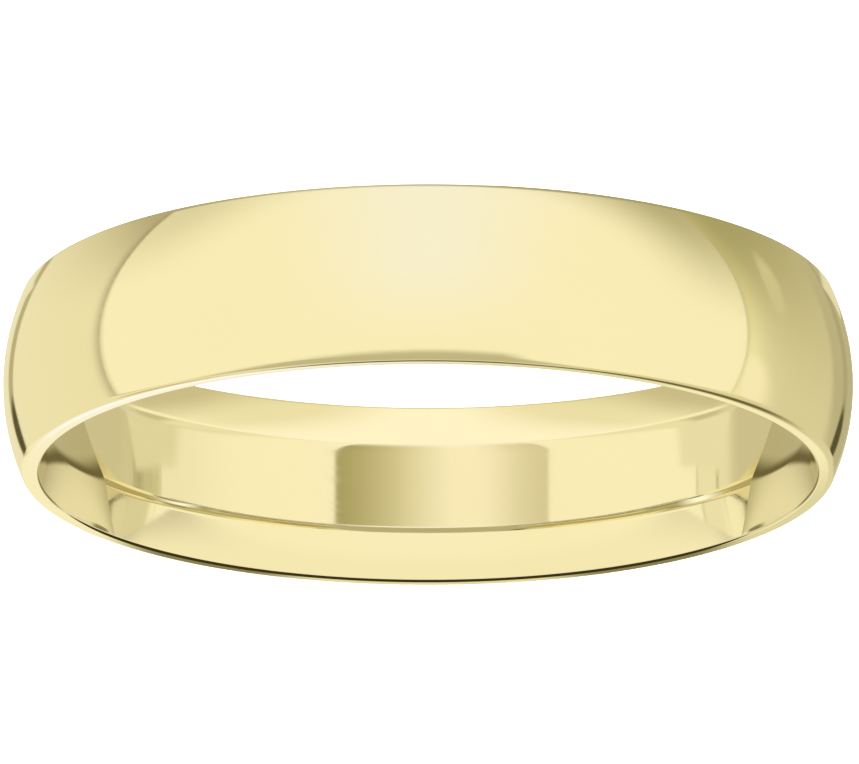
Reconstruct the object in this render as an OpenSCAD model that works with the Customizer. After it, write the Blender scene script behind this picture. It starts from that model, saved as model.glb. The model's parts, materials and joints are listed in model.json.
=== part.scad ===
// Plain polished wedding band with a domed outside and a comfort-fit inside.
//
// A strip of gold with one even section is bent round into a ring, and its two ends are
// soldered together. The finger hole's axis lies along Y and its centre is the origin.
// The ring stands on its shank, where the soldered joint is, at the lowest point of -Z.
// All sizes are in millimetres.

/* [Finger] */
// Diameter of the finger hole at its narrowest, along the middle of the band
bore_d = 16.3; // [14:0.1:23]
// Length along the finger of the flare on each side of the hole
flare_l = 1.05; // [0.6:0.05:1.1]
// Angle at which the hole flares open towards each rim
flare_a = 17; // [6:1:24]

/* [Band] */
// Width of the band from one rim face to the other
band_w = 4; // [3:0.1:8]
// Thickness of the gold from the finger hole to the top of the dome
crest_t = 1.1; // [1:0.05:2.4]
// Height that the dome falls from its top to each rim
dome_drop = 0.44; // [0.2:0.02:0.5]

/* [Rounded edges] */
// Radius that rolls the dome over into each rim face
shoulder_r = 0.2; // [0.1:0.05:0.3]
// Radius of each rim's inner edge
edge_r = 0.08; // [0.04:0.02:0.14]
// Radius that softens the crease between the finger hole and each flare
crease_r = 0.9; // [0.5:0.1:2]

/* [Soldered joint] */
// Thickness of the solder between the two ends of the strip
seam_t = 0.1; // [0.05:0.01:0.2]

/* [Hidden] */

gold = [0.90, 0.85, 0.62];
solder = [0.89, 0.84, 0.63];

bore_r = bore_d / 2;
crest_r = bore_r + crest_t;
half_w = band_w / 2;

// The dome is one arc through its top and the theoretical corner of each rim
dome_r = (half_w * half_w + dome_drop * dome_drop) / (2 * dome_drop);
dome_c = [crest_r - dome_r, 0];

// The shoulder arc touches the dome arc from inside, and the rim face
shoulder_y = half_w - shoulder_r;
shoulder_reach = dome_r - shoulder_r;
shoulder_c = [dome_c.x + sqrt(shoulder_reach * shoulder_reach - shoulder_y * shoulder_y), shoulder_y];
dome_end = dome_c + (shoulder_c - dome_c) * dome_r / shoulder_reach;
face_top = [shoulder_c.x, half_w];

// The edge arc touches the rim face and the flare
rim_r = bore_r + flare_l * tan(flare_a);
edge_cut = edge_r / tan((90 + flare_a) / 2);
edge_c = [rim_r + edge_cut, half_w - edge_r];
face_foot = [edge_c.x, half_w];
flare_top = [rim_r, half_w] - edge_cut * [sin(flare_a), cos(flare_a)];

// The crease arc touches the flare and the finger hole
crease_y = half_w - flare_l;
crease_cut = crease_r * tan(flare_a / 2);
crease_c = [bore_r + crease_r, crease_y - crease_cut];
flare_foot = [bore_r, crease_y] + crease_cut * [sin(flare_a), cos(flare_a)];
bore_end = [bore_r, crease_c.y];

// How far a corner's cutter stands proud of the strip, in radii of its arc
corner_reach = 3;
// How much larger than its tangent circle an arc is cut, so that it crosses both sides cleanly
arc_proud = 0.0003;
// How far the sharp section and the joint's cutter stand proud of the strip
margin = 1;
$fn = 180;

// The same point on the other side of the band's middle plane
function opposite(p) = [p.x, -p.y];

// Section before its corners are rounded, with X as the distance from the ring's axis
module sharp_section() {
    half_outline = [[bore_r, crease_y], [rim_r, half_w], [crest_r + margin, half_w]];
    intersection() {
        polygon([for (side = [0 : 1], i = [0 : 2]) side == 0 ? half_outline[i] : opposite(half_outline[2 - i])]);
        translate(dome_c) circle(r = dome_r);
    }
}

// What is cut away outside an arc that rounds a corner, between the arc's two ends
module corner_waste(centre, radius, start, end) {
    difference() {
        polygon([
            centre,
            centre + corner_reach * (start - centre),
            centre + corner_reach * (end - centre)
        ]);
        translate(centre) circle(r = radius + arc_proud);
    }
}

// The waste of the three corners of one side of the section
module corner_wastes() {
    corner_waste(shoulder_c, shoulder_r, dome_end, face_top);
    corner_waste(edge_c, edge_r, face_foot, flare_top);
    corner_waste(crease_c, crease_r, flare_foot, bore_end);
}

// Section of the gold strip
module strip_section() {
    difference() {
        sharp_section();
        corner_wastes();
        mirror([0, 1]) corner_wastes();
    }
}

// The strip bent into a whole ring round the Y axis
module ring() {
    rotate([-90, 0, 0]) rotate_extrude() strip_section();
}

// Slab that the solder fills, square across the strip at the foot of the ring
module seam_slab() {
    slab_w = band_w + 2 * margin;
    slab_h = crest_t + 2 * margin;
    translate([-seam_t / 2, -slab_w / 2, -crest_r - margin])
        cube([seam_t, slab_w, slab_h]);
}

// The strip of gold, bent round until its ends nearly meet
module band() {
    color(gold) difference() {
        ring();
        seam_slab();
    }
}

// Gold solder that fills the joint and is filed and polished flush with the strip
module solder_seam() {
    color(solder) intersection() {
        ring();
        seam_slab();
    }
}

band();
solder_seam();
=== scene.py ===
"""Looks of the wedding band: mirror-polished yellow gold, standing in a small white light tent."""

import json
import math

import bmesh
import bpy
from mathutils import Matrix, Vector


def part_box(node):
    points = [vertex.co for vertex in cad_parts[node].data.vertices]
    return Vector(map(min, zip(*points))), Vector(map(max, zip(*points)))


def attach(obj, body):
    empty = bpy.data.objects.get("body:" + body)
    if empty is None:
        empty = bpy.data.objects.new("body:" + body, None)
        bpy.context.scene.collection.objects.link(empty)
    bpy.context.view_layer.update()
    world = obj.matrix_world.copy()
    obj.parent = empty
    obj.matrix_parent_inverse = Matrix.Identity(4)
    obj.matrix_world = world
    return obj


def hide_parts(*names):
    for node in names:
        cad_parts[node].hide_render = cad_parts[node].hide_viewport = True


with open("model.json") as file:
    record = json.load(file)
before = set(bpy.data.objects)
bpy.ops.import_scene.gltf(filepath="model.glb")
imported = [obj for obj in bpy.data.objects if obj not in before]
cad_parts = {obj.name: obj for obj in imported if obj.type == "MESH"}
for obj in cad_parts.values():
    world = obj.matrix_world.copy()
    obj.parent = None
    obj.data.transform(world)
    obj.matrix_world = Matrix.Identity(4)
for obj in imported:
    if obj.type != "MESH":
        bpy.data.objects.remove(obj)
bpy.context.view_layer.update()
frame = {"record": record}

MM = 0.001

# ---- Sizes of the strip's section, as in the CAD model --------------------------------------------

band_low, band_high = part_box("band")
finger_hole = next(m for m in frame["record"]["mounts"] if m["name"] == "finger_hole")

BORE_R = finger_hole["dims"]["r_mm"] * MM
CREST_R = band_high.z
HALF_W = band_high.y
DOME_DROP = 0.44 * MM
SHOULDER_R = 0.2 * MM
EDGE_R = 0.08 * MM
FLARE_L = 1.05 * MM
FLARE_A = math.radians(17)
CREASE_R = 0.9 * MM
SEAM_T = 0.1 * MM

# Fineness of the meshes: columns round the ring, and steps along the section's arcs and flats
RING_COLUMNS = 450
SEAM_COLUMNS = 3
ARC_STEP = math.radians(2)
MIN_ARC_STEPS = 8
FLAT_STEPS = 6


# ---- Nodes ----------------------------------------------------------------------------------------

def new_tree(owner):
    """The empty node tree of a material or a world."""
    owner.use_nodes = True
    owner.node_tree.nodes.clear()
    return owner.node_tree


def add(tree, kind, inputs=None, **settings):
    """A new node, with its inputs set to values or linked to sockets."""
    node = tree.nodes.new(kind)
    for key, value in settings.items():
        setattr(node, key, value)
    for key, value in (inputs or {}).items():
        if isinstance(value, bpy.types.NodeSocket):
            tree.links.new(value, node.inputs[key])
        else:
            node.inputs[key].default_value = value
    return node


def maths(tree, operation, *values):
    """The output of a Math node."""
    return add(tree, "ShaderNodeMath", dict(enumerate(values)), operation=operation).outputs[0]


def ease(tree, value, low, high, start=0.0, end=1.0):
    """A smooth step from start, at or below low, to end, at or above high."""
    inputs = {"Value": value, "From Min": low, "From Max": high, "To Min": start, "To Max": end}
    return add(tree, "ShaderNodeMapRange", inputs, interpolation_type="SMOOTHSTEP").outputs["Result"]


def blend_colours(tree, factor, first, second):
    """Mixes two colours, each a tuple or a socket."""
    node = add(tree, "ShaderNodeMix", {"Factor": factor}, data_type="RGBA", clamp_factor=True)
    for key, value in (("A", first), ("B", second)):
        socket = next(s for s in node.inputs if s.name == key and s.type == "RGBA")
        if isinstance(value, bpy.types.NodeSocket):
            tree.links.new(value, socket)
        else:
            socket.default_value = (*value, 1)
    return next(s for s in node.outputs if s.type == "RGBA")


# ---- Meshes of the strip --------------------------------------------------------------------------

def arc(centre, radius, start, end):
    """Points of an arc, as (distance from the ring's axis, place along it, outward normal)."""
    steps = max(MIN_ARC_STEPS, round(abs(end - start) / ARC_STEP))
    angles = [start + (end - start) * i / steps for i in range(steps + 1)]
    return [
        (centre[0] + radius * math.cos(a), centre[1] + radius * math.sin(a), math.cos(a), math.sin(a))
        for a in angles
    ]


def flat(start, end):
    """Points between two points that are joined by a straight line."""
    shares = [i / FLAT_STEPS for i in range(1, FLAT_STEPS)]
    return [
        (start[0] + (end[0] - start[0]) * s, start[1] + (end[1] - start[1]) * s, start[2], start[3])
        for s in shares
    ]


def half_outline():
    """The section's outline from the top of the dome, round one rim, to the finger hole's middle."""
    dome_r = (HALF_W**2 + DOME_DROP**2) / (2 * DOME_DROP)
    dome_x = CREST_R - dome_r
    shoulder_y = HALF_W - SHOULDER_R
    shoulder_x = dome_x + math.sqrt((dome_r - SHOULDER_R) ** 2 - shoulder_y**2)
    dome_end = math.atan2(shoulder_y, shoulder_x - dome_x)
    rim_r = BORE_R + FLARE_L * math.tan(FLARE_A)
    edge_x = rim_r + EDGE_R / math.tan((math.pi / 2 + FLARE_A) / 2)
    crease_y = HALF_W - FLARE_L - CREASE_R * math.tan(FLARE_A / 2)
    flare_normal = math.pi - FLARE_A

    dome = arc((dome_x, 0), dome_r, 0, dome_end)
    shoulder = arc((shoulder_x, shoulder_y), SHOULDER_R, dome_end, math.pi / 2)
    edge = arc((edge_x, HALF_W - EDGE_R), EDGE_R, math.pi / 2, flare_normal)
    crease = arc((BORE_R + CREASE_R, crease_y), CREASE_R, flare_normal, math.pi)
    middle = (BORE_R, 0, -1, 0)
    return [
        *dome,
        *shoulder[1:],
        *flat(shoulder[-1], edge[0]),
        *edge,
        *flat(edge[-1], crease[0]),
        *crease,
        *flat(crease[-1], middle),
        middle,
    ]


def outline():
    """The whole outline of the section."""
    half = half_outline()
    return half + [(r, -y, nr, -ny) for r, y, nr, ny in reversed(half[1:-1])]


def seam_angle(r):
    """The angle from the foot at which the solder's face lies, at a distance from the ring's axis."""
    return math.asin(SEAM_T / 2 / r)


def bent_strip(name, columns, start, end):
    """A closed solid: the section bent round the Y axis, with a flat end at each side.

    start and end give the angle of each end from the foot, at a distance from the ring's axis."""
    section = outline()
    count = len(section)
    verts, normals = [], []
    for c in range(columns + 1):
        share = c / columns
        for r, y, nr, ny in section:
            angle = start(r) + (end(r) - start(r)) * share
            verts.append((r * math.sin(angle), y, -r * math.cos(angle)))
            normals.append((nr * math.sin(angle), ny, -nr * math.cos(angle)))
    corners = ((0, 0), (0, 1), (1, 1), (1, 0))
    faces = [
        tuple((c + ahead) * count + (i + along) % count for ahead, along in corners)
        for c in range(columns)
        for i in range(count)
    ]
    ends = [tuple(reversed(range(count))), tuple(range(columns * count, (columns + 1) * count))]
    mesh = bpy.data.meshes.new(name)
    mesh.from_pydata(verts, [], faces + ends)
    for polygon in mesh.polygons:
        polygon.use_smooth = len(polygon.vertices) == 4
    mesh.normals_split_custom_set(
        [
            normals[v] if polygon.use_smooth else polygon.normal[:]
            for polygon in mesh.polygons
            for v in polygon.vertices
        ]
    )
    piece = bpy.data.objects.new(name, mesh)
    bpy.context.scene.collection.objects.link(piece)
    return piece


# ---- Gold -----------------------------------------------------------------------------------------

GOLD = (0.94, 0.88, 0.65)
SOLDER = (0.936, 0.877, 0.654)
# Number of colour clouds to a metre, and how much paler and deeper than the gold they are
CLOUD_SCALE = 260.0
CLOUD_TINT = 0.006
# Fineness of the buffing lines: per radian round the band, and per metre across it and into it
BUFFING_SCALE = (7.0, 9000.0, 9000.0)
ROUGHNESS = (0.05, 0.075)
RELIEF = 0.002 * MM


def polished_gold(name, colour):
    """Mirror-polished gold: faint clouds of colour, buffing lines round the band, slight relief."""
    material = bpy.data.materials.new(name)
    tree = new_tree(material)
    place = add(tree, "ShaderNodeTexCoord").outputs["Object"]
    x, y, z = add(tree, "ShaderNodeSeparateXYZ", {0: place}).outputs
    turn = maths(tree, "ARCTAN2", x, z)
    reach = add(tree, "ShaderNodeVectorMath", {0: place}, operation="LENGTH").outputs["Value"]
    across = add(tree, "ShaderNodeCombineXYZ", {"X": turn, "Y": y, "Z": reach}).outputs[0]

    inputs = {"Vector": place, "Scale": CLOUD_SCALE, "Detail": 3.0, "Roughness": 0.5}
    cloud = add(tree, "ShaderNodeTexNoise", inputs).outputs["Fac"]
    paler = tuple(c * (1 + CLOUD_TINT) for c in colour)
    deeper = tuple(c * (1 - CLOUD_TINT) for c in colour)
    base = blend_colours(tree, ease(tree, cloud, 0.3, 0.7), deeper, paler)

    inputs = {0: across, 1: BUFFING_SCALE}
    stretched = add(tree, "ShaderNodeVectorMath", inputs, operation="MULTIPLY").outputs[0]
    inputs = {"Vector": stretched, "Scale": 1.0, "Detail": 4.0}
    buffing = add(tree, "ShaderNodeTexNoise", inputs).outputs["Fac"]
    roughness = ease(tree, buffing, 0.35, 0.7, *ROUGHNESS)

    relief = maths(tree, "ADD", maths(tree, "MULTIPLY", buffing, 0.3), cloud)
    inputs = {"Strength": 0.15, "Distance": RELIEF, "Height": relief}
    bump = add(tree, "ShaderNodeBump", inputs).outputs[0]

    inputs = {"Base Color": base, "Metallic": 1.0, "Roughness": roughness, "Normal": bump}
    shader = add(tree, "ShaderNodeBsdfPrincipled", inputs)
    add(tree, "ShaderNodeOutputMaterial", {"Surface": shader.outputs[0]})
    return material


# ---- Studio ---------------------------------------------------------------------------------------

# The band is so polished that all its tones are reflections: of a white tent round it, of the
# tent's floor, and of small cards and hoops close to the band. Only the gold sees them. Their dark
# and bright parts are painted shade and painted highlights in these reflections.

TENT_R = 150 * MM
TENT_X = 28 * MM
FLOOR_R = 600 * MM
# The warm white of all the light in the tent, by which every tone below is multiplied
LAMP = (1.01, 0.952, 0.708)
WHITE = (1.0, 1.0, 1.0)
# The white floor's shade, and the strength of the white light on it
FLOOR_SHADE = 0.93
FLOOR_LIGHT = 3.0

# Sides of the round pieces, steps along a hoop, and the order of a rectangle's corners
ROUND_SIDES = 96
HOOP_STEPS = 64
RECTANGLE = ((0, 0), (1, 0), (1, 1), (0, 1))


def smooth_oval(tree, place, centre, reach):
    """1 in the inner half of an oval that is drawn on X and Y, falling smoothly to 0 at its edge."""
    moved = add(tree, "ShaderNodeVectorMath", {0: place, 1: (*centre, 0)}, operation="SUBTRACT")
    unit = (1 / reach[0], 1 / reach[1], 0)
    scaled = add(tree, "ShaderNodeVectorMath", {0: moved.outputs[0], 1: unit}, operation="MULTIPLY")
    radius = add(tree, "ShaderNodeVectorMath", {0: scaled.outputs[0]}, operation="LENGTH")
    return ease(tree, radius.outputs["Value"], 0.5, 1, 1, 0)


def shade(tree, colour, factor):
    """A colour times a factor."""
    scaled = add(tree, "ShaderNodeVectorMath", {0: colour, "Scale": factor}, operation="SCALE")
    return scaled.outputs[0]


def glowing(name, colour, cover_of=None):
    """A material that glows with one colour, or with what colour(tree, place) gives at each place.

    cover_of gives how much of the material is there, where it isn't whole."""
    material = bpy.data.materials.new(name)
    tree = new_tree(material)
    if callable(colour) or cover_of:
        place = add(tree, "ShaderNodeTexCoord").outputs["Object"]
    if callable(colour):
        inputs = {0: colour(tree, place), 1: LAMP}
        glow = add(tree, "ShaderNodeVectorMath", inputs, operation="MULTIPLY").outputs[0]
    else:
        glow = (*(c * lamp for c, lamp in zip(colour, LAMP)), 1)
    surface = add(tree, "ShaderNodeEmission", {"Color": glow, "Strength": 1.0}).outputs[0]
    if cover_of:
        clear = add(tree, "ShaderNodeBsdfTransparent").outputs[0]
        inputs = {0: cover_of(tree, place), 1: clear, 2: surface}
        surface = add(tree, "ShaderNodeMixShader", inputs).outputs[0]
    add(tree, "ShaderNodeOutputMaterial", {"Surface": surface})
    return material


def staged(name, verts, faces, material):
    """A piece of the studio."""
    mesh = bpy.data.meshes.new(name)
    mesh.from_pydata(verts, [], faces)
    mesh.materials.append(material)
    obj = bpy.data.objects.new(name, mesh)
    bpy.context.scene.collection.objects.link(obj)
    return obj


def glossy_only(obj):
    """Leaves a piece of the studio to the reflections in the gold."""
    obj.visible_camera = False
    obj.visible_diffuse = False
    obj.visible_transmission = False
    obj.visible_volume_scatter = False
    obj.visible_shadow = False


def card(name, corners, colour, cover_of=None):
    """A flat glowing piece of the studio that only the gold sees."""
    material = glowing(name, colour, cover_of)
    glossy_only(staged(name, corners, [range(len(corners))], material))


def disc(radius, x, z):
    """Corners of a level disc."""
    turns = [2 * math.pi * i / ROUND_SIDES for i in range(ROUND_SIDES)]
    return [(x + radius * math.cos(t), radius * math.sin(t), z) for t in turns]


def tent_colour(tree, place):
    """White cloth, cooler overhead, with painted shade low down at the back, and the open front in
    shade.
    """
    way = add(tree, "ShaderNodeVectorMath", {0: place}, operation="NORMALIZE").outputs[0]
    x, y, z = add(tree, "ShaderNodeSeparateXYZ", {0: way}).outputs
    aside = maths(tree, "ABSOLUTE", x)
    overhead = maths(tree, "MULTIPLY", ease(tree, aside, 0, 0.68, 1, 0), ease(tree, y, -0.5, 0.4))
    cloth = blend_colours(tree, overhead, WHITE, (0.99, 1.03, 1.3))
    right = ease(tree, x, -0.3, 0.3)
    left = maths(tree, "SUBTRACT", 1.0, right)
    back_shade = maths(
        tree,
        "ADD",
        maths(tree, "MULTIPLY", right, ease(tree, y, 0.1, 0.8, 0, 0.6)),
        maths(tree, "MULTIPLY", left, ease(tree, y, 0.3, 0.8, 0, 0.3)),
    )
    low = ease(tree, z, 0, 0.5, 1, 0)
    cloth = blend_colours(tree, maths(tree, "MULTIPLY", low, back_shade), cloth, (0.17, 0.16, 0.0))
    front = ease(tree, y, -0.48, -0.43, 1, 0)
    opening = maths(tree, "MULTIPLY", ease(tree, x, -0.75, -0.5), ease(tree, x, 0.3, 0.45, 1, 0))
    return blend_colours(tree, maths(tree, "MULTIPLY", front, opening), cloth, (0.56, 0.56, 0.48))


# Patches of painted shade and painted highlight on the tent's floor, as centre and reach in
# millimetres, and colour
PAINTED_FLOOR_PATCHES = (
    ((-11, -6), (8, 6), (0.98, 0.98, 0.95)),
    ((-26, -33), (13, 11), (0.55, 0.53, 0.42)),
    ((-7, -13.5), (13, 9.5), (1.06, 1.13, 1.7)),
    ((-1, -37), (12, 24), (0.16, 0.15, 0.09)),
    ((12, -20), (14, 12.5), (0.16, 0.15, 0.09)),
    ((7.5, -6), (4, 2), (0.97, 0.97, 0.92)),
    ((4.6, -3.4), (2.7, 2.1), (0.26, 0.25, 0.16)),
    ((-4.6, -3.4), (2.7, 2.1), (0.26, 0.25, 0.16)),
    ((0, 4), (9, 5), (0.64, 0.62, 0.54)),
    ((12.2, 3), (2.4, 7), (0.50, 0.48, 0.38)),
    ((15.5, 5), (4, 9), (0.52, 0.50, 0.40)),
    ((-14, 5), (1.1, 11), (0.50, 0.47, 0.35)),
    ((-14.2, 0.2), (1.1, 2.2), (0.10, 0.09, 0.05)),
    ((14, 4), (1.1, 7), (0.44, 0.42, 0.32)),
    ((14, -0.2), (1.1, 2.2), (0.10, 0.09, 0.05)),
    ((42, 18), (10, 9), (0.66, 0.64, 0.51)),
    ((100, -14), (70, 18), (0.97, 0.96, 0.93)),
)


def table_colour(tree, place):
    """The tent's floor, with painted shade darker to the back, and painted patches near the band.

    Painted shade dims it towards a seam on its left, and at its right end."""
    x, y, _ = add(tree, "ShaderNodeSeparateXYZ", {0: place}).outputs
    beside = maths(tree, "ADD", maths(tree, "ABSOLUTE", x), 12 * MM)
    slope = maths(tree, "DIVIDE", y, beside)
    left = blend_colours(tree, ease(tree, slope, 0.2, 0.9), (0.89, 0.88, 0.83), (0.48, 0.45, 0.38))
    right = blend_colours(tree, ease(tree, slope, -0.15, 0.7), (0.75, 0.74, 0.64), (0.42, 0.41, 0.27))
    right = shade(tree, right, ease(tree, x, 25 * MM, 120 * MM, 0.97, 1.25))
    tone = blend_colours(tree, ease(tree, x, -20 * MM, 20 * MM), left, right)
    for centre, reach, colour in PAINTED_FLOOR_PATCHES:
        centre_and_reach = ([c * MM for c in centre], [r * MM for r in reach])
        tone = blend_colours(tree, smooth_oval(tree, place, *centre_and_reach), tone, colour)
    to_seam = ease(tree, x, -106 * MM, -66 * MM, 0.58, 1)
    past_seam = ease(tree, x, -106 * MM, -101 * MM, 0.97, 0)
    left_end = maths(tree, "MAXIMUM", to_seam, past_seam)
    right_end = ease(tree, x, 130 * MM, 172 * MM, 1, 0.78)
    return shade(tree, tone, maths(tree, "MULTIPLY", left_end, right_end))


def tent():
    """The tent's cloth and floor, which only the gold sees."""
    shape = bmesh.new()
    bmesh.ops.create_uvsphere(
        shape,
        u_segments=ROUND_SIDES,
        v_segments=ROUND_SIDES // 2,
        radius=TENT_R,
        matrix=Matrix.Translation((TENT_X, 0, 0)),
    )
    verts = [v.co[:] for v in shape.verts]
    faces = [[v.index for v in face.verts] for face in shape.faces]
    shape.free()
    glossy_only(staged("tent_cloth", verts, faces, glowing("tent_cloth", tent_colour)))
    card("tent_floor", disc(TENT_R, TENT_X, band_low.z), table_colour)


# The level card behind the finger hole, which the inside of the shank reflects: its tones are
# given from its left to its right, and its corners by how far they curve along X and along Y
CARD_Z = 3.4 * MM
CARD_X = (-6.07 * MM, 4.32 * MM)
CARD_Y = (2.1 * MM, 15.5 * MM)
CARD_CORNER = (2 * MM, 7 * MM)
# The tones are painted light in the middle and painted shade towards both sides, deepest on the right
CARD_TONES = (
    (0.00, (0.68, 0.65, 0.55)),
    (0.20, (0.80, 0.78, 0.74)),
    (0.33, (0.98, 0.95, 0.96)),
    (0.44, (1.02, 1.00, 1.18)),
    (0.54, (0.97, 0.96, 0.97)),
    (0.71, (0.67, 0.65, 0.51)),
    (0.92, (0.41, 0.38, 0.23)),
    (1.00, (0.42, 0.40, 0.26)),
)


def card_colour(tree, place):
    """The back card's tones run smoothly into each other."""
    x, _, _ = add(tree, "ShaderNodeSeparateXYZ", {0: place}).outputs
    inputs = {"Value": x, "From Min": CARD_X[0], "From Max": CARD_X[1]}
    share = add(tree, "ShaderNodeMapRange", inputs).outputs["Result"]
    ramp = add(tree, "ShaderNodeValToRGB", {"Fac": share})
    stops = ramp.color_ramp.elements
    ramp.color_ramp.interpolation = "B_SPLINE"
    while len(stops) < len(CARD_TONES):
        stops.new(1.0)
    for stop, (position, colour) in zip(stops, CARD_TONES):
        stop.position = position
        stop.color = (*colour, 1)
    return ramp.outputs["Color"]


def card_cover(tree, place):
    """The back card fades towards its far edge, where its corners are round."""
    x, y, _ = add(tree, "ShaderNodeSeparateXYZ", {0: place}).outputs
    aside = maths(tree, "ABSOLUTE", maths(tree, "SUBTRACT", x, sum(CARD_X) / 2))
    half = (CARD_X[1] - CARD_X[0]) / 2
    past_x = maths(tree, "MAXIMUM", maths(tree, "SUBTRACT", aside, half - CARD_CORNER[0]), 0.0)
    past_y = maths(tree, "MAXIMUM", maths(tree, "SUBTRACT", y, CARD_Y[1] - CARD_CORNER[1]), 0.0)
    unit_x = maths(tree, "DIVIDE", past_x, CARD_CORNER[0])
    unit_y = maths(tree, "DIVIDE", past_y, CARD_CORNER[1])
    corner = add(tree, "ShaderNodeCombineXYZ", {"X": unit_x, "Y": unit_y}).outputs[0]
    reach = add(tree, "ShaderNodeVectorMath", {0: corner}, operation="LENGTH").outputs["Value"]
    inside = ease(tree, reach, 0.86, 1, 1, 0)
    return maths(tree, "MULTIPLY", inside, ease(tree, y, 9 * MM, CARD_Y[1], 1, 0))


def back_card():
    """The level card behind the finger hole."""
    corners = [(CARD_X[i], CARD_Y[j], CARD_Z) for i, j in RECTANGLE]
    card("back_card", corners, card_colour, card_cover)


# The white card above it, which the far edge of the crown reflects as a painted highlight
LID_X = (-2.6 * MM, 1.8 * MM)
LID_Y = (2.1 * MM, 12.5 * MM)
LID_Z = CARD_Z + 0.1 * MM
LID_WHITE = (1.03, 1.06, 1.5)


def lid_card():
    """The level white card above the back card."""
    card("lid_card", [(LID_X[i], LID_Y[j], LID_Z) for i, j in RECTANGLE], LID_WHITE)


# The upright card in front of the finger hole, which the front of the shank's inside reflects
FRONT_X = (-8.6 * MM, 8.6 * MM)
FRONT_Y = -3.0 * MM
FRONT_Z = (-9.2 * MM, -3.0 * MM)
FRONT_WHITE = (0.965, 0.96, 0.945)


def front_colour(tree, place):
    """The front card darkens to both sides and to its foot, in painted shade."""
    x, _, z = add(tree, "ShaderNodeSeparateXYZ", {0: place}).outputs
    right = ease(tree, x, 0, 6.5 * MM, 1, 0.68)
    left = ease(tree, x, -7 * MM, 0, 0.84, 1)
    foot = ease(tree, z, -8 * MM, -6 * MM, 0.55, 1)
    tone = shade(tree, FRONT_WHITE, maths(tree, "MULTIPLY", right, left))
    return shade(tree, tone, foot)


def front_cover(tree, place):
    """The front card fades towards its top and its round lower edge."""
    _, _, z = add(tree, "ShaderNodeSeparateXYZ", {0: place}).outputs
    reach = add(tree, "ShaderNodeVectorMath", {0: place}, operation="LENGTH").outputs["Value"]
    top = ease(tree, z, -4.6 * MM, FRONT_Z[1], 1, 0)
    return maths(tree, "MULTIPLY", top, ease(tree, reach, 8.2 * MM, FRONT_X[1], 1, 0))


def front_card():
    """The upright card in front of the finger hole."""
    corners = [(FRONT_X[i], FRONT_Y, FRONT_Z[j]) for i, j in RECTANGLE]
    card("front_card", corners, front_colour, front_cover)


# The low upright card behind the band, which the inside of the shank reflects at its ends
SILL_X = (-12 * MM, 12 * MM)
SILL_Y = 5 * MM
SILL_Z = (-9.2 * MM, -4.0 * MM)


def sill_colour(tree, place):
    """Painted light and shade: white in the middle, darkest low down on both sides of it, and paler
    further out.
    """
    x, _, z = add(tree, "ShaderNodeSeparateXYZ", {0: place}).outputs
    aside = maths(tree, "ABSOLUTE", x)
    rightwards = ease(tree, x, -6 * MM, 6 * MM)
    ends = blend_colours(tree, rightwards, (0.86, 0.85, 0.80), (0.78, 0.77, 0.70))
    tone = blend_colours(tree, ease(tree, aside, 0.3 * MM, 1.5 * MM), WHITE, (0.62, 0.60, 0.50))
    foot = ease(tree, z, -8.2 * MM, -7.2 * MM, 1, 0)
    tone = blend_colours(tree, foot, tone, (0.74, 0.73, 0.65))
    off_middle = ease(tree, aside, 0.1 * MM, 0.6 * MM)
    upper = blend_colours(tree, off_middle, (1.06, 1.07, 1.2), (0.88, 0.87, 0.80))
    tone = blend_colours(tree, ease(tree, z, -6.6 * MM, -5.8 * MM), tone, upper)
    return blend_colours(tree, ease(tree, aside, 3 * MM, 8 * MM), tone, ends)


def sill_cover(tree, place):
    """The sill card ends softly at its top."""
    _, _, z = add(tree, "ShaderNodeSeparateXYZ", {0: place}).outputs
    return ease(tree, z, -5 * MM, SILL_Z[1], 1, 0)


def sill_card():
    """The low upright card behind the band."""
    corners = [(SILL_X[i], SILL_Y, SILL_Z[j]) for i, j in RECTANGLE]
    card("sill_card", corners, sill_colour, sill_cover)


# Hoops round the Y axis, as name, two edges as (radius, y) in millimetres, middle and half of
# their turn in degrees from the top, and tone
HOOPS = (
    ("front_hoop", (8.34, -2.03), (8.56, -2.03), 186, 62, (0.04, 0.035, 0.015)),
    ("back_hoop_left", (7.1, 2.2), (8.7, 2.2), -80, 54, (0.34, 0.34, 0.32)),
    ("back_hoop_right", (7.1, 2.2), (8.7, 2.2), 80, 54, (0.34, 0.34, 0.32)),
    ("crown_hoop", (6.6, -1.9), (6.6, 1.9), 0, 50, (0.50, 0.48, 0.38)),
)


def hoop(name, first, second, middle, half_turn, tone):
    """A strip that runs round the Y axis between two edges, and tapers at its ends."""
    verts = []
    for i in range(HOOP_STEPS + 1):
        share = 2 * i / HOOP_STEPS - 1
        turn = math.radians(middle + half_turn * share)
        taper = share**6 / 2
        for near, far in ((first, second), (second, first)):
            r, y = ((n + (f - n) * taper) * MM for n, f in zip(near, far))
            verts.append((r * math.sin(turn), y, r * math.cos(turn)))
    faces = [(2 * i, 2 * i + 1, 2 * i + 3, 2 * i + 2) for i in range(HOOP_STEPS)]
    glossy_only(staged(name, verts, faces, glowing(name, tone)))


def hoops():
    """Dark hoops, painted shade in the reflections: one lines the front rim, two stand behind the
    sides, one lies in the crown.
    """
    for values in HOOPS:
        hoop(*values)


# Tiny upright cards across the finger hole, as name, x, two y, height of the middle and reach up
# and down from it, all in millimetres
GLINTS = (
    ("glint_left", -4.6, (-0.87, -0.73), -5.95, 0.5),
    ("glint_right", 4.9, (-0.97, -0.71), -5.6, 0.45),
)
GLINT_WHITE = (1.06, 1.14, 1.4)


def glint_cover(middle, reach):
    """The cover of a card that fades upwards and downwards from its middle."""

    def cover(tree, place):
        """How much of the card is there at each place."""
        _, _, z = add(tree, "ShaderNodeSeparateXYZ", {0: place}).outputs
        off = maths(tree, "ABSOLUTE", maths(tree, "SUBTRACT", z, middle * MM))
        return ease(tree, off, 0, reach * MM, 1, 0)

    return cover


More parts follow.
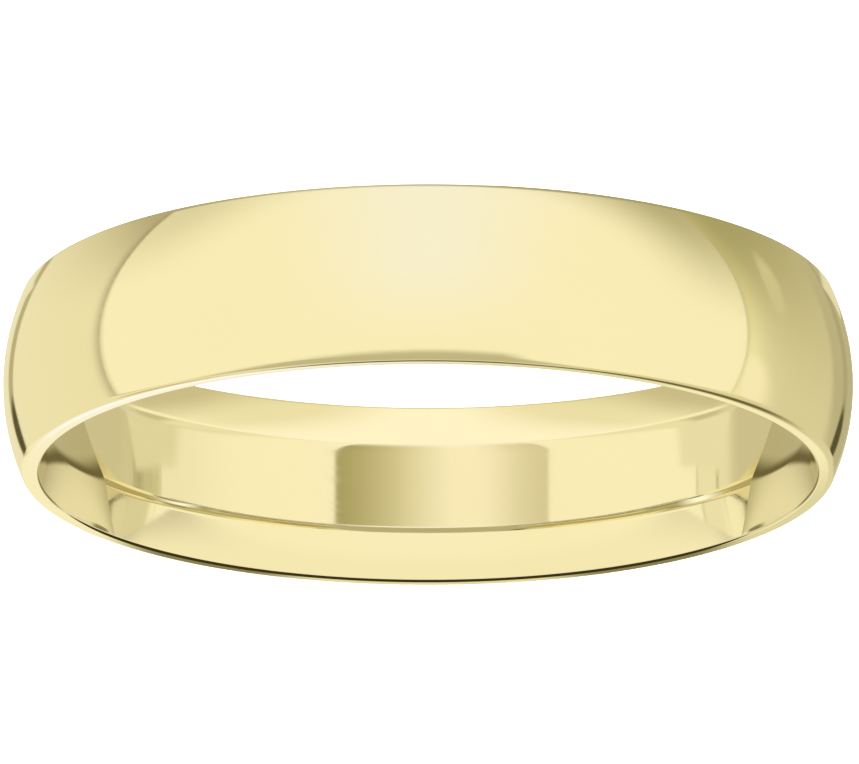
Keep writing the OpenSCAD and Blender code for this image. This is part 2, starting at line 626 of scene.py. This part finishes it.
def glint_cards():
    """The cards that the front crease of the inside reflects as two bright streaks."""
    for name, x, edges, middle, reach in GLINTS:
        heights = (middle - reach, middle + reach)
        corners = [(x * MM, edges[i] * MM, heights[j] * MM) for i, j in RECTANGLE]
        card(name, corners, GLINT_WHITE, glint_cover(middle, reach))


# Corners of the right one of two slanting cards inside the finger hole, in millimetres: its outer
# edge lies within the gold
CORNER_CARD = ((5.4, -1.95, -4.95), (7, -1.95, -4.95), (8.4, 1.9, -1.6), (5.4, 1.9, -1.6))


def corner_colour(tree, place):
    """The corner cards are dark behind, lighter in front, and darkest on the line between: painted
    shade.
    """
    x, y, _ = add(tree, "ShaderNodeSeparateXYZ", {0: place}).outputs
    beside = ease(tree, maths(tree, "ABSOLUTE", x), 5.9 * MM, 7.2 * MM)
    front = blend_colours(tree, beside, (0.84, 0.82, 0.74), (0.50, 0.48, 0.37))
    tone = blend_colours(tree, ease(tree, y, -1.0 * MM, -0.86 * MM), front, (0.16, 0.14, 0.08))
    return blend_colours(tree, ease(tree, y, -0.8 * MM, -0.4 * MM), tone, (0.50, 0.48, 0.37))


def corner_cards():
    """The cards that paint shade into the tight corners of the finger hole, and keep them from
    glowing golden.
    """
    for name, side in (("corner_left", -1), ("corner_right", 1)):
        corners = [(side * x * MM, y * MM, z * MM) for x, y, z in CORNER_CARD]
        card(name, corners, corner_colour)


def floor():
    """The plain white floor that the band stands on."""
    material = bpy.data.materials.new("floor_card")
    tree = new_tree(material)
    inputs = {"Color": (FLOOR_SHADE, FLOOR_SHADE, FLOOR_SHADE, 1)}
    shader = add(tree, "ShaderNodeBsdfDiffuse", inputs)
    add(tree, "ShaderNodeOutputMaterial", {"Surface": shader.outputs[0]})
    corners = disc(FLOOR_R, 0, band_low.z)
    staged("floor", corners, [range(len(corners))], material).visible_glossy = False


def studio():
    """The white floor, the light on it, and all that the gold reflects."""
    floor()
    tent()
    back_card()
    lid_card()
    front_card()
    sill_card()
    hoops()
    glint_cards()
    corner_cards()
    world = bpy.data.worlds.new("studio")
    bpy.context.scene.world = world
    tree = new_tree(world)
    white = add(tree, "ShaderNodeBackground", {"Color": (*WHITE, 1), "Strength": FLOOR_LIGHT})
    add(tree, "ShaderNodeOutputWorld", {"Surface": white.outputs[0]})


# ---- Camera ---------------------------------------------------------------------------------------

# How high the view is, and how many crest radii away
VIEW_ELEVATION = math.radians(73.7)
VIEW_DISTANCE = 80
# The crest radius and the lens shift, as shares of the picture's width
RING_SHARE = 0.495
SHIFT = (0.0016, 0.0051)
# In millimetres, as the lens is
SENSOR_WIDTH = 36


def camera():
    """Looks down on the standing band from in front, from far away through a long lens."""
    data = bpy.data.cameras.new("camera")
    obj = bpy.data.objects.new("camera", data)
    bpy.context.scene.collection.objects.link(obj)
    bpy.context.scene.camera = obj
    back = Vector((0, -math.cos(VIEW_ELEVATION), math.sin(VIEW_ELEVATION)))
    up = Vector((0, math.sin(VIEW_ELEVATION), math.cos(VIEW_ELEVATION)))
    turn = Matrix((up.cross(back), up, back)).transposed()
    obj.matrix_world = Matrix.Translation(back * VIEW_DISTANCE * CREST_R) @ turn.to_4x4()
    data.sensor_width = SENSOR_WIDTH
    data.lens = SENSOR_WIDTH * RING_SHARE * VIEW_DISTANCE
    data.shift_x, data.shift_y = SHIFT
    data.clip_start, data.clip_end = CREST_R, 4 * VIEW_DISTANCE * CREST_R


# ---- The band -------------------------------------------------------------------------------------

# How often light is followed from gold to gold
BOUNCES = 16


def whole_turn(r):
    """The angle from the foot at which the strip ends, after a whole turn."""
    return 2 * math.pi - seam_angle(r)


def before_foot(r):
    """The angle from the foot at which the solder begins."""
    return -seam_angle(r)


def assemble():
    """The strip and its solder, in place of the plain CAD solids."""
    for node, slot, colour, start, end, columns in (
        ("band", "yellow_gold", GOLD, seam_angle, whole_turn, RING_COLUMNS),
        ("solder_seam", "gold_solder", SOLDER, before_foot, seam_angle, SEAM_COLUMNS),
    ):
        piece = bent_strip(f"polished_{node}", columns, start, end)
        piece.data.materials.append(polished_gold(slot, colour))
        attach(piece, "root")
        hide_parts(node)


assemble()
studio()
camera()
bpy.context.scene.view_settings.view_transform = "Standard"
bpy.context.scene.cycles.max_bounces = BOUNCES
bpy.context.scene.cycles.glossy_bounces = BOUNCES
